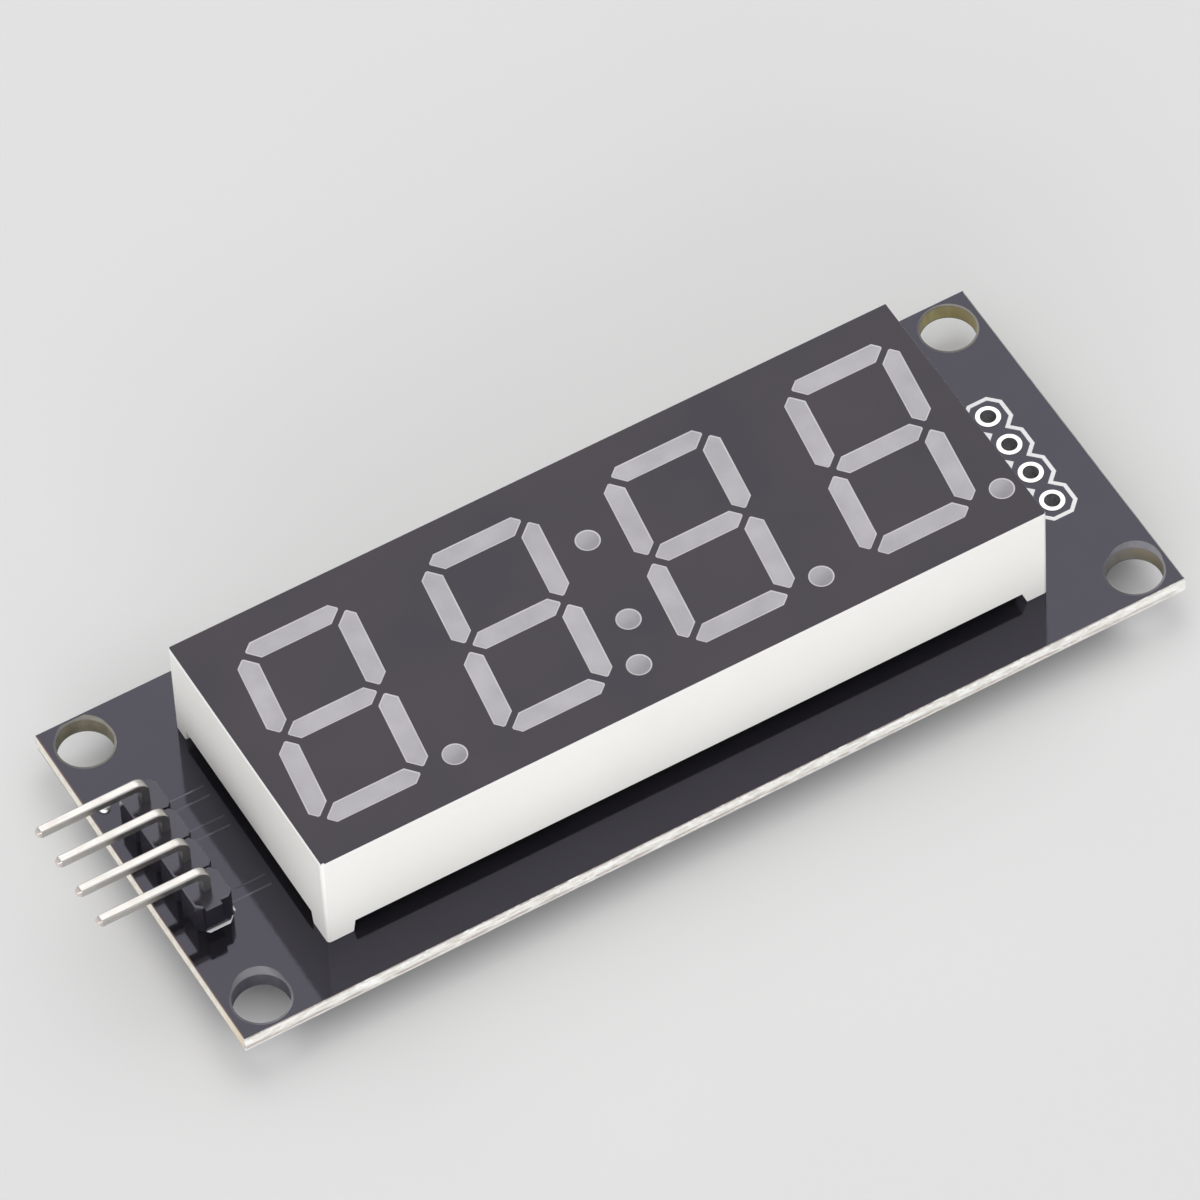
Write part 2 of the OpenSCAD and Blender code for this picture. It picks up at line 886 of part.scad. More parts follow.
module header_solder() {
    color("#d6d6d8")
        on_back()
            for (y = header_ys)
                solder_joint([header_x, y], pin_w);
}

module display_solder() {
    color("#d6d6d8")
        on_back()
            for (place = display_pin_places)
                solder_joint(place, display_pin_w);
}

// A bead of solder left on the front face: the cap of a ball
module solder_bead() {
    ball_r = (bead_d * bead_d / 4 + bead_h * bead_h) / (2 * bead_h);
    color("#e8e8ea")
        translate([bead_inset - board_l / 2, bead_y, 0])
            intersection() {
                translate([0, 0, bead_h - ball_r])
                    sphere(ball_r);
                translate([-bead_d, -bead_d, 0])
                    cube([2 * bead_d, 2 * bead_d, bead_d]);
            }
}

circuit_board();
header_rings();
spare_rings();
display_rings();
back_lands();
display_housing();
display_face();
digit_1_segments();
digit_2_segments();
digit_3_segments();
digit_4_segments();
colon_dots();
led_board();
led_chips();
display_potting();
display_pins();
header_block();
header_pin_1();
header_pin_2();
header_pin_3();
header_pin_4();
driver_chip();
driver_chip_leads();
resistors();
resistor_ends();
capacitors();
capacitor_ends();
header_solder();
display_solder();
surface_solder();
solder_bead();
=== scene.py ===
"""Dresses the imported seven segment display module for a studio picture."""

import json
import math

import bmesh
import bpy
from mathutils import Matrix, Vector


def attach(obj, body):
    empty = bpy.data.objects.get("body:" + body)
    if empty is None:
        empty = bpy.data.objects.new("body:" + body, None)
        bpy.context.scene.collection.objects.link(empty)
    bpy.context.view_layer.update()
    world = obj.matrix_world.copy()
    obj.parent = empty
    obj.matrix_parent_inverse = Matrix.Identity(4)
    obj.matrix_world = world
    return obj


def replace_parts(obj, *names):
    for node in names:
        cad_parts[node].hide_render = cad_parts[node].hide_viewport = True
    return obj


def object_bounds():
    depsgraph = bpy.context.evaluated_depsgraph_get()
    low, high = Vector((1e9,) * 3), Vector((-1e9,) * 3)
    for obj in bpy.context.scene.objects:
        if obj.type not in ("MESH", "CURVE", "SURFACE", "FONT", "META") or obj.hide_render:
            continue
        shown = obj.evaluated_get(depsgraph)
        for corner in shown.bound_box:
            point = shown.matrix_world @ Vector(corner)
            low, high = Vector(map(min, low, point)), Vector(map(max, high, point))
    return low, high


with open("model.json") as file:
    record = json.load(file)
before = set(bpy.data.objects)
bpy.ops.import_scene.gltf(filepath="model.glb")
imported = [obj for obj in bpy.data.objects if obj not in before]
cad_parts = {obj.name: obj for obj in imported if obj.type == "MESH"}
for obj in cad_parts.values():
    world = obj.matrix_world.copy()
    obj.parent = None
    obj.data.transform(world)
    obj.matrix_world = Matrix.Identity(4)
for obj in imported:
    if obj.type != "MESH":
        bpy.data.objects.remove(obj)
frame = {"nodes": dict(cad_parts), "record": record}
cad_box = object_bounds()
scene = bpy.context.scene
nodes = frame["nodes"]
MM = 0.001

# Sizes of the part that the looks and the extra pieces follow, in millimetres
# The board's front face is at z = 0, and BOARD_X is half its length
BOARD_X, BOARD_T = 32.8, 1.2
# The long edges slope away beyond SCORE_Y, where they were snapped along a score
SCORE_Y = 13.02
HOLE_X, HOLE_Y, HOLE_R = 30.5, 11.05, 1.8
PITCH = 2.54
SPARE_X = 29.03
HEADER_X = -30.15
PIN_TIP_X = -37.45
PIN_YS = [(1.5 - i) * PITCH for i in range(4)]
PIN_BEVEL, HOUSING_BEVEL = 0.085, 0.05

# The display: the end and the front of its body, its face and its digits
DISPLAY_END_X, DISPLAY_FRONT_Y = 25.15, -9.67
DISPLAY_Y = -0.17
FACE_Z = 8.0
DIGIT_PITCH = 12.7
DIGIT_W, DIGIT_H = 8.2, 14.4
SEG_T, SEG_GAP = 1.38, 0.44
CORNER_CUT, POINT_BLUNT = 1.4, 0.1
LEAN = math.radians(7.7)
DOT_R = 0.8
COLON_RISE = 3.22
POINT = (DIGIT_W / 2 + 0.64, SEG_T / 2 - DIGIT_H / 2)

# White print: the width of its line, its height, and how far the line's sides slope
PRINT_W, PRINT_H, PRINT_SLOPE = 0.27, 0.018, 0.02
# The header's print lies a little off, and its left line a little near
HEADER_PRINT_X, HEADER_PRINT_Y, HEADER_PRINT_NEAR = 0.08, -0.05, 0.11

# Lips that the drill pushed up round the bolt holes: each hole, the lip's width, and its direction
LIPS = (
    ((-HOLE_X, HOLE_Y), 0.24, 72),
    ((HOLE_X, HOLE_Y), 0.03, 62),
    ((HOLE_X, -HOLE_Y), 0.40, 52),
    ((-HOLE_X, -HOLE_Y), 0.45, 70),
)

# The drop of solder beside the header: its place, radius and height
DROP_X, DROP_Y, DROP_R, DROP_H = -31.80, 6.22, 0.45, 0.34

# Tracks under the lacquer, from the header to the display
FRONT_TRACK_YS = (4.10, 1.52, -3.60)
FRONT_TRACK_ENDS = (-29.4, -25.9)
FRONT_TRACK_W, FRONT_TRACK_H = 0.80, 0.018

# Tracks under the lacquer of the back, and what they join
BACK_TRACK_W, BACK_TRACK_H = 0.42, 0.026
LEAD_Y, LEAD_PITCH = 3.25, 1.27
DISPLAY_PIN_Y = 6.72
TURN_YS = (4.4, 3.95, 3.5)
LANE_START_Y, LANE_Y = 3.9, 5.05
RING_REACH = 0.75
PART_PITCH = 2.6
CAPACITOR_ENDS = (-15.55, -13.2)
RESISTOR_ENDS = (-11.45, -8.95)


# Node materials


class Look:
    """One node material round a Principled shader, with coordinates in millimetres."""

    def __init__(self, name):
        self.mat = bpy.data.materials.new(name)
        self.mat.use_nodes = True
        self.tree = self.mat.node_tree
        self.tree.nodes.clear()
        out = self.tree.nodes.new("ShaderNodeOutputMaterial")
        self.shader = self.tree.nodes.new("ShaderNodeBsdfPrincipled")
        self.tree.links.new(self.shader.outputs[0], out.inputs["Surface"])
        coord = self.tree.nodes.new("ShaderNodeTexCoord")
        self.normal = coord.outputs["Normal"]
        self.mm = self.vector("SCALE", coord.outputs["Object"], scale=1.0 / MM)

    def put(self, socket, value):
        """Links a socket to another node's output, or sets it to a number or colour."""
        if isinstance(value, bpy.types.NodeSocket):
            self.tree.links.new(value, socket)
        elif socket.type == "RGBA":
            socket.default_value = (*value, 1.0)
        else:
            socket.default_value = value

    def set(self, **values):
        """Sets or links the shader's own sockets, named with _ for a space."""
        for name, value in values.items():
            self.put(self.shader.inputs[name.replace("_", " ")], value)
        return self

    def vector(self, operation, a, b=None, scale=None):
        node = self.tree.nodes.new("ShaderNodeVectorMath")
        node.operation = operation
        self.put(node.inputs[0], a)
        if b is not None:
            self.put(node.inputs[1], b)
        if scale is not None:
            self.put(node.inputs["Scale"], scale)
        return node.outputs[0]

    def axes(self, source=None):
        """The three parts of a vector, by default of the place in millimetres."""
        node = self.tree.nodes.new("ShaderNodeSeparateXYZ")
        self.put(node.inputs[0], source or self.mm)
        return node.outputs

    def math(self, operation, a, b=0.0):
        node = self.tree.nodes.new("ShaderNodeMath")
        node.operation = operation
        self.put(node.inputs[0], a)
        self.put(node.inputs[1], b)
        return node.outputs[0]

    def plus(self, a, b):
        return self.math("ADD", a, b)

    def minus(self, a, b):
        return self.math("SUBTRACT", a, b)

    def times(self, a, b):
        return self.math("MULTIPLY", a, b)

    def size(self, a):
        return self.math("ABSOLUTE", a)

    def more(self, a, b):
        return self.math("GREATER_THAN", a, b)

    def less(self, a, b):
        return self.math("LESS_THAN", a, b)

    def within(self, value, low, high):
        return self.times(self.more(value, low), self.less(value, high))

    def wave(self, value, length):
        return self.math("SINE", self.times(value, 2 * math.pi / length))

    def spread(self, value, low, high, to_low=0.0, to_high=1.0, smooth=False):
        """Maps the range from low to high onto the range from to_low to to_high."""
        node = self.tree.nodes.new("ShaderNodeMapRange")
        node.interpolation_type = "SMOOTHSTEP" if smooth else "LINEAR"
        names = ("Value", "From Min", "From Max", "To Min", "To Max")
        for name, number in zip(names, (value, low, high, to_low, to_high)):
            self.put(node.inputs[name], number)
        return node.outputs[0]

    def mix(self, factor, a, b):
        node = self.tree.nodes.new("ShaderNodeMix")
        node.data_type = "RGBA"
        self.put(node.inputs[0], factor)
        self.put(node.inputs[6], a)
        self.put(node.inputs[7], b)
        return node.outputs[2]

    def fade(self, value, low, high, a, b, most=1.0):
        """Colour a where the value is low, turning into b where it is high, or only part of the way."""
        return self.mix(self.spread(value, low, high, 0.0, most), a, b)

    def corners(self, front_left, back_left, front_right, back_right):
        """One of four colours, by the quarter of the board."""
        x, y, _ = self.axes()
        back = self.more(y, 0.0)
        left = self.mix(back, front_left, back_left)
        right = self.mix(back, front_right, back_right)
        return self.mix(self.more(x, 0.0), left, right)

    def noise(self, per_mm, detail=3.0, rough=0.5, stretch=None):
        node = self.tree.nodes.new("ShaderNodeTexNoise")
        self.put(node.inputs["Vector"], self.vector("MULTIPLY", self.mm, stretch) if stretch else self.mm)
        self.put(node.inputs["Scale"], per_mm)
        self.put(node.inputs["Detail"], detail)
        self.put(node.inputs["Roughness"], rough)
        return node.outputs[0]

    def distance(self, x0, y0, wide=1.0):
        """Distance in plan from a point, with the distance along x divided by wide."""
        x, y, _ = self.axes()
        dx, dy = self.math("DIVIDE", self.minus(x, x0), wide), self.minus(y, y0)
        return self.math("SQRT", self.plus(self.times(dx, dx), self.times(dy, dy)))

    def relief(self, *layers):
        """Stacks (height, depth in millimetres) layers of bump and sends them to the shader."""
        normal = None
        for height, depth in layers:
            node = self.tree.nodes.new("ShaderNodeBump")
            self.put(node.inputs["Height"], height)
            self.put(node.inputs["Distance"], depth * MM)
            self.put(node.inputs["Strength"], 1.0)
            if normal is not None:
                self.put(node.inputs["Normal"], normal)
            normal = node.outputs[0]
        self.put(self.shader.inputs["Normal"], normal)
        return self


def lacquer_nodes(look):
    """Colour, roughness and relief of glossy black lacquer over a glass weave."""
    cloud = look.noise(0.35, 4.0, 0.55)
    fine = look.noise(2.2, 3.0, 0.6)
    colour = look.mix(cloud, (0.0110, 0.0098, 0.0130), (0.0165, 0.0150, 0.0185))
    rough = look.spread(fine, 0.3, 0.7, 0.055, 0.095)
    thread = 0.62
    x, y, _ = look.axes()
    weave = look.times(look.wave(x, thread), look.wave(y, thread))
    look.set(IOR=1.6, Specular_Tint=(0.83, 0.81, 1.0))
    return colour, rough, [(look.noise(0.7, 2.0), 0.0022), (weave, 0.00012), (fine, 0.00012)]


def torn_edge(look):
    """Colour and grain of the long edges, whose glass fibres were torn along the score."""
    x, _, z = look.axes()
    streak = look.noise(1.0, 6.0, 0.7, (0.9, 1.0, 7.0))
    clot = look.noise(2.6, 4.0, 0.65, (0.5, 1.0, 1.6))
    colour = look.fade(streak, 0.34, 0.58, (0.60, 0.57, 0.50), (0.90, 0.89, 0.85))
    colour = look.fade(clot, 0.50, 0.62, colour, (0.96, 0.96, 0.945))
    # A darker strand of cloth shows below the middle of the edge
    upper = look.spread(z, -0.70, -0.54, 1.0, 0.0, smooth=True)
    band = look.times(look.spread(z, -0.96, -0.84, smooth=True), upper)
    strand = look.times(band, look.spread(look.noise(0.8, 5.0, 0.7, (0.8, 1.0, 2.5)), 0.40, 0.56))
    colour = look.mix(look.times(strand, 0.85), colour, (0.44, 0.375, 0.34))
    # Brown scraps hang along the top of the edge
    scraps = look.spread(look.noise(2.4, 4.0, 0.7, (0.6, 1.0, 1.0)), 0.37, 0.51)
    scraps = look.times(look.spread(z, -0.13, -0.05), scraps)
    colour = look.mix(look.times(scraps, 0.85), colour, (0.33, 0.27, 0.24))
    colour = look.fade(x, 24.0, 33.0, colour, (0.93, 0.94, 0.88), most=0.35)
    return colour, look.plus(streak, clot)


def milled_edge(look):
    """Colour of the short edges: even layers of cloth, with brown skins and tanned front corners."""
    _, y, z = look.axes()
    colour = look.fade(look.wave(z, 0.2), -0.6, 0.8, (0.68, 0.63, 0.50), (0.86, 0.845, 0.745))
    colour = look.fade(look.noise(3.0, 4.0), 0.35, 0.7, colour, (0.93, 0.93, 0.87))
    skin = look.more(look.size(look.plus(z, BOARD_T / 2)), BOARD_T / 2 - 0.13)
    brown = look.mix(look.noise(1.4, 3.0), (0.36, 0.235, 0.17), (0.60, 0.44, 0.36))
    return look.fade(y, -9.5, -13.2, look.mix(skin, colour, brown), (0.74, 0.60, 0.40), most=0.7)


def drilled_walls(look):
    """Colour of the bolt holes' walls: darkest in the front left hole, palest and most yellow in the back
    right one, and tan towards the right of the right holes.
    """
    x, y, _ = look.axes()
    around = look.noise(1.1, 4.0, 0.6, (1.0, 1.0, 0.35))
    dim = look.corners(
        (0.055, 0.053, 0.064), (0.150, 0.135, 0.085), (0.130, 0.120, 0.105), (0.31, 0.28, 0.12)
    )
    pale = look.corners(
        (0.092, 0.088, 0.106), (0.25, 0.225, 0.145), (0.21, 0.195, 0.175), (0.52, 0.47, 0.21)
    )
    tan = look.mix(look.more(y, 0.0), (0.26, 0.225, 0.145), (0.46, 0.385, 0.185))
    return look.fade(x, 30.2, 32.2, look.fade(around, 0.35, 0.62, dim, pale), tan, most=0.85)


def board_look():
    look = Look("board_lacquer")
    x, y, _ = look.axes()
    flat = look.more(look.size(look.axes(look.normal)[2]), 0.93)
    lacquer, rough, layers = lacquer_nodes(look)
    torn, fibres = torn_edge(look)
    edge = look.mix(look.more(look.size(x), BOARD_X - 0.12), drilled_walls(look), milled_edge(look))
    edge = look.mix(look.more(look.size(y), SCORE_Y), edge, torn)
    look.set(Base_Color=look.mix(flat, edge, lacquer), Roughness=look.spread(flat, 0.0, 1.0, 0.62, rough))
    return look.relief(*layers, (look.times(look.minus(1.0, flat), fibres), 0.03)).mat


def track_look():
    """The board's lacquer where it lies over copper, with a painted highlight that makes it paler on the
    slopes.
    """
    look = Look("lacquer")
    colour, rough, layers = lacquer_nodes(look)
    # Painted highlight on the tracks' slopes
    slope = look.spread(look.size(look.axes(look.normal)[2]), 0.986, 0.9985, 1.0, 0.0)
    look.set(Base_Color=look.mix(slope, colour, (0.085, 0.080, 0.088)), Roughness=rough)
    return look.relief(*layers).mat


def metal_look(name, colour, dull, rough, grain, depth=0.006):
    look = Look(name)
    soft = look.noise(grain, 4.0, 0.55)
    fine = look.noise(grain * 7, 3.0, 0.6)
    look.set(Base_Color=look.fade(soft, 0.3, 0.75, colour, dull), Metallic=1.0)
    look.set(Roughness=look.spread(fine, 0.3, 0.7, *rough))
    return look.relief((soft, depth), (fine, depth * 0.12)).mat


def ring_look():
    """Hot tin on the rings, and the dull wall of the plated holes under them."""
    look = Look("ring_tin")
    z = look.axes()[2]
    soft = look.noise(1.8, 4.0, 0.55)
    inside = look.less(look.size(look.plus(z, BOARD_T / 2)), BOARD_T / 2 - 0.03)
    bright = look.fade(soft, 0.3, 0.75, (0.88, 0.875, 0.86), (0.74, 0.73, 0.71))
    colour = look.mix(inside, bright, look.mix(soft, (0.78, 0.76, 0.79), (0.94, 0.92, 0.96)))
    rough = look.spread(look.noise(9.0, 3.0), 0.3, 0.7, 0.24, 0.38)
    look.set(Base_Color=colour, Roughness=rough, Metallic=1.0)
    return look.relief((soft, 0.006)).mat


def pin_look():
    """Bright tin plate with drawing marks along the wire and pinkish, rougher sheared ends."""
    look = Look("pin_tin")
    x = look.axes()[0]
    marks = look.noise(1.0, 5.0, 0.65, (0.5, 9.0, 0.5))
    marks_z = look.noise(1.0, 5.0, 0.65, (0.5, 2.0, 9.0))
    patch = look.noise(0.9, 3.0, 0.5)
    colour = look.fade(marks, 0.35, 0.7, (0.640, 0.625, 0.600), (0.545, 0.522, 0.495))
    colour = look.fade(patch, 0.55, 0.75, colour, (0.585, 0.540, 0.505))
    tip = look.spread(x, PIN_TIP_X + 0.01, PIN_TIP_X + 0.33, 1.0, 0.0, smooth=True)
    colour = look.mix(look.times(tip, 0.8), colour, (0.84, 0.73, 0.70))
    rough = look.plus(look.spread(patch, 0.3, 1.0, 0.28, 0.46), look.times(tip, 0.34))
    look.set(Base_Color=colour, Roughness=rough, Metallic=1.0)
    return look.relief((marks, 0.004), (marks_z, 0.002), (patch, 0.003)).mat


def plastic_look(name, low, high, rough, cloud, grain=9.0, depth=0.0015):
    look = Look(name)
    wide = look.noise(cloud, 4.0, 0.55)
    fine = look.noise(grain, 3.0, 0.6)
    look.set(Base_Color=look.fade(wide, 0.3, 0.7, low, high), IOR=1.5)
    look.set(Roughness=look.spread(fine, 0.25, 0.75, *rough))
    return look.relief((wide, depth * 4), (fine, depth)).mat


def block_look():
    """Shiny black moulding whose narrow bevels are painted paler as a highlight."""
    look = Look("block_black")
    wide, fine = look.noise(0.5, 4.0, 0.55), look.noise(3.0, 3.0, 0.6)
    # The narrow bevels, which face partly upwards, get a painted highlight
    bevel = look.within(look.axes(look.normal)[2], 0.2, 0.95)
    colour = look.fade(wide, 0.3, 0.7, (0.0140, 0.0130, 0.0180), (0.0220, 0.0200, 0.0270))
    look.set(Base_Color=look.mix(bevel, colour, (0.105, 0.103, 0.118)))
    look.set(Roughness=look.spread(fine, 0.25, 0.75, 0.13, 0.22), IOR=1.66, Specular_Tint=(0.87, 0.86, 1.0))
    return look.relief((wide, 0.002), (fine, 0.0005)).mat


def face_look():
    """Dark ink on the display's front, chipped off its front left corner, where the white body shows."""
    look = Look("face_ink")
    grain = look.noise(11.0, 2.0, 0.7)
    cloud = look.noise(0.12, 3.0, 0.5)
    colour = look.fade(grain, 0.3, 0.7, (0.0230, 0.0178, 0.0320), (0.0320, 0.0268, 0.0420))
    colour = look.fade(cloud, 0.35, 0.65, colour, (0.051, 0.0365, 0.0475), most=0.5)
    chipped = look.less(look.distance(0.13 - DISPLAY_END_X, DISPLAY_FRONT_Y - 0.02, wide=1.7), 0.13)
    look.set(Base_Color=look.mix(chipped, colour, (0.88, 0.87, 0.84)))
    look.set(Roughness=look.spread(grain, 0.2, 0.8, 0.42, 0.56))
    return look.relief((grain, 0.0016), (cloud, 0.01)).mat


def segment_look(name, in_colon):
    """Milky resin with a little light scattered under its surface; the round wells get a painted shade."""
    look = Look(name)
    cloud = look.noise(0.42, 3.0, 0.5)
    fine = look.noise(6.0, 3.0, 0.6)
    bar_grey = look.fade(cloud, 0.3, 0.7, (0.420, 0.408, 0.436), (0.520, 0.502, 0.534))
    bar_grey = look.fade(fine, 0.55, 0.8, bar_grey, (0.60, 0.59, 0.61), most=0.25)
    # Each dot is measured from its own middle
    x, y, _ = look.axes()
    if in_colon:
        up = look.minus(y, DISPLAY_Y)
        half = look.math("SIGN", up)
        from_x = look.minus(x, look.times(half, COLON_RISE * math.tan(LEAN)))
        from_y = look.minus(up, look.times(half, COLON_RISE))
        in_dot = 1.0
    else:
        shifted = look.math("FLOORED_MODULO", look.minus(x, POINT[0]), DIGIT_PITCH)
        from_x = look.minus(shifted, DIGIT_PITCH / 2)
        from_y = look.minus(y, POINT[1] + DISPLAY_Y)
        apart = look.plus(look.times(from_x, from_x), look.times(from_y, from_y))
        in_dot = look.less(apart, (DOT_R + 0.02) ** 2)
    # Painted shade in each dot: lighter at its upper left, darker at its lower right, as in a shallow bowl
    dot_bowl_shade = look.spread(look.plus(from_y, look.times(from_x, -0.3)), -0.55, 0.65, smooth=True)
    dot_grey = look.mix(dot_bowl_shade, (0.285, 0.272, 0.298), (0.425, 0.415, 0.442))
    dot_grey = look.fade(cloud, 0.3, 0.7, dot_grey, (0.44, 0.43, 0.455), most=0.4)
    look.set(Base_Color=look.mix(in_dot, bar_grey, dot_grey))
    look.set(Roughness=look.spread(fine, 0.3, 0.7, 0.30, 0.42))
    look.set(Subsurface_Weight=0.25, Subsurface_Scale=0.4 * MM, Subsurface_Radius=(1.0, 0.92, 0.90))
    return look.relief((cloud, 0.012), (fine, 0.0012)).mat


def frame_look():
    """The paler edge of the resin, where it thins out over the white wall of its well."""
    look = Look("resin_edge")
    cloud = look.noise(0.5, 3.0, 0.5)
    fine = look.noise(8.0, 3.0, 0.6)
    look.set(Base_Color=look.fade(cloud, 0.3, 0.7, (0.54, 0.510, 0.535), (0.66, 0.630, 0.650)))
    look.set(Roughness=look.spread(fine, 0.3, 0.7, 0.36, 0.5))
    return look.relief((cloud, 0.004), (fine, 0.0008)).mat


def resistor_look():
    """White ceramic with a black glaze on the side that faces away from the board."""
    look = Look("resistor_glaze")
    glaze = look.less(look.axes(look.normal)[2], -0.5)
    grain = look.noise(7.0, 3.0)
    ceramic = look.mix(grain, (0.70, 0.69, 0.66), (0.82, 0.81, 0.78))
    black = look.mix(grain, (0.012, 0.012, 0.015), (0.028, 0.028, 0.032))
    look.set(Base_Color=look.mix(glaze, ceramic, black), Roughness=look.spread(glaze, 0.0, 1.0, 0.65, 0.28))
    return look.relief((grain, 0.004)).mat


def ink_look():
    """White printing ink, a little uneven, with a spot flaked off a corner of the header's outline."""
    look = Look("white_print")
    grain = look.noise(7.0, 4.0, 0.65)
    white = look.fade(grain, 0.35, 0.65, (0.90, 0.91, 0.93), (0.99, 0.99, 1.0))
    flaked = look.less(look.distance(-28.99, -4.63), 0.22)
    look.set(Base_Color=look.mix(flaked, white, (0.013, 0.012, 0.015)))
    look.set(Roughness=look.spread(flaked, 0.0, 1.0, 0.5, 0.1))
    return look.relief((grain, 0.004)).mat


def housing_look():
    """White moulded plastic, with painted light that makes it whiter towards its left end, and painted
    highlights along its edges.
    """
    look = Look("housing_white")
    x, _, z = look.axes()
    wide = look.noise(0.16, 4.0, 0.55)
    fine = look.noise(8.0, 3.0, 0.6)
    colour = look.fade(wide, 0.3, 0.7, (0.898, 0.890, 0.858), (0.928, 0.920, 0.892))
    # Painted shade: the body turns a little greyer towards its right end
    colour = look.fade(x, -22.0, 24.0, colour, (0.815, 0.808, 0.776), most=0.12)
    # Painted highlights on the feet's ends, the edge over the gaps between the feet, the rim and the right
    # end
    feet = look.less(z, 0.10)
    over_gaps = look.times(look.less(look.size(x), 23.2), look.within(z, 0.97, 1.12))
    rim = look.more(z, FACE_Z - 0.215)
    end = look.more(x, DISPLAY_END_X - 0.2)
    wear_and_highlight = look.math("MAXIMUM", look.math("MAXIMUM", feet, over_gaps), look.math("MAXIMUM", rim, end))
    look.set(Base_Color=look.mix(look.times(wear_and_highlight, 0.75), colour, (0.955, 0.955, 0.945)), IOR=1.5)
    look.set(Roughness=look.spread(fine, 0.25, 0.75, 0.38, 0.52))
    return look.relief((wide, 0.006), (fine, 0.0015)).mat


def rim_look():
    """Bare, dull edge of the lacquer round the bolt holes, which catches more light at its right."""
    look = Look("bare_rim")
    x, y, _ = look.axes()
    from_x = look.minus(x, look.times(look.math("SIGN", x), HOLE_X))
    wear_and_highlight = look.noise(1.3, 4.0, 0.65)
    # Two colours for the left side of each rim, two for its right, and less light at the end of a lip
    back = ((0.065, 0.063, 0.068), (0.16, 0.155, 0.15), (0.15, 0.14, 0.125), (0.36, 0.335, 0.28))
    left_low = look.corners((0.060, 0.060, 0.068), back[0], (0.035, 0.034, 0.040), back[0])
    left_high = look.corners((0.14, 0.14, 0.155), back[1], (0.105, 0.104, 0.116), back[1])
    right_low = look.corners((0.175, 0.171, 0.192), back[2], (0.12, 0.118, 0.132), back[2])
    right_high = look.corners((0.345, 0.340, 0.375), back[3], (0.29, 0.285, 0.315), back[3])
    left, right = look.mix(wear_and_highlight, left_low, left_high), look.mix(wear_and_highlight, right_low, right_high)
    colour = look.fade(from_x, -1.4, 1.4, left, right)
    front_left = look.times(look.less(x, 0.0), look.less(y, 0.0))
    lip_end = look.times(front_left, look.spread(from_x, 1.2, 1.85, 0.0, 0.7))
    look.set(Base_Color=look.mix(lip_end, colour, (0.085, 0.084, 0.094)), Roughness=0.5)
    return look.relief((wear_and_highlight, 0.006)).mat


def margin_look():
    """Bare board beside the lacquer, reddish at the left end and grey at the right."""
    look = Look("bare_margin")
    wear_and_highlight = look.noise(0.9, 5.0, 0.7)
    left = look.mix(wear_and_highlight, (0.10, 0.060, 0.058), (0.20, 0.135, 0.125))
    right = look.fade(wear_and_highlight, 0.35, 0.65, (0.26, 0.255, 0.24), (0.50, 0.49, 0.45))
    look.set(Base_Color=look.mix(look.more(look.axes()[0], 0.0), left, right), Roughness=0.55)
    return look.relief((wear_and_highlight, 0.006)).mat


def floor_look():
    look = Look("floor_paper")
    grain = look.noise(0.02, 3.0)
    look.set(Base_Color=look.mix(grain, (0.80, 0.80, 0.80), (0.83, 0.83, 0.83)), Roughness=0.8)
    return look.mat


LEAD_TIN = metal_look("lead_tin", (0.70, 0.70, 0.70), (0.55, 0.55, 0.55), (0.28, 0.44), 2.4)
LOOKS = {
    "board": board_look(),
    "tin": ring_look(),
    "housing": housing_look(),
    "face": face_look(),
    "segment": segment_look("segment_resin", in_colon=False),
    "led_board": plastic_look("led_board_cloth", (0.60, 0.56, 0.40), (0.74, 0.70, 0.52), (0.5, 0.7), 1.5),
    "led_chip": metal_look("led_chip", (0.85, 0.72, 0.35), (0.62, 0.50, 0.22), (0.2, 0.4), 6.0),
    "potting": plastic_look("potting_resin", (0.66, 0.62, 0.48), (0.76, 0.72, 0.58), (0.15, 0.3), 0.5, 3.0),
    "pin": pin_look(),
    "header_block": block_look(),
    "chip": plastic_look(
        "chip_black", (0.016, 0.016, 0.018), (0.028, 0.028, 0.030), (0.50, 0.66), 0.8, 14.0, 0.004
    ),
    "lead": LEAD_TIN,
    "resistor": resistor_look(),
    "capacitor": plastic_look(
        "capacitor_brown", (0.30, 0.19, 0.10), (0.42, 0.29, 0.17), (0.45, 0.62), 1.8, 9.0, 0.003
    ),
    "end_cap": LEAD_TIN,
    "solder": metal_look("solder", (0.84, 0.84, 0.85), (0.66, 0.66, 0.68), (0.07, 0.20), 1.1, 0.02),
}
NODE_LOOKS = {
    "colon_dots": segment_look("dot_resin", in_colon=True),
    "solder_bead": metal_look("bead_tin", (0.95, 0.95, 0.96), (0.84, 0.84, 0.86), (0.34, 0.50), 1.6, 0.02),
}
slot_of = {s["node"]: s["material_slot"] for s in frame["record"]["subparts"]}
for name, obj in nodes.items():
    look = NODE_LOOKS.get(name, LOOKS[slot_of[name]])
    if not obj.material_slots:
        obj.data.materials.append(look)
    for material_slot in obj.material_slots:
        material_slot.material = look


# Softened edges of carried over pieces


def soften(name, width, angle, segments):
    """Rounds the sharp edges of a piece; its vertices, which come split along them, are joined first."""
    weld = nodes[name].modifiers.new("weld", "WELD")
    weld.merge_threshold = 1e-6
    bevel = nodes[name].modifiers.new("edges", "BEVEL")
    bevel.width = width * MM
    bevel.segments = segments
    bevel.limit_method = "ANGLE"
    bevel.angle_limit = math.radians(angle)
    bevel.use_clamp_overlap = False


for number in range(1, 5):
    soften("header_pin_%d" % number, PIN_BEVEL, angle=30, segments=3)
soften("display_housing", HOUSING_BEVEL, angle=60, segments=2)


# Extra pieces, built in millimetres


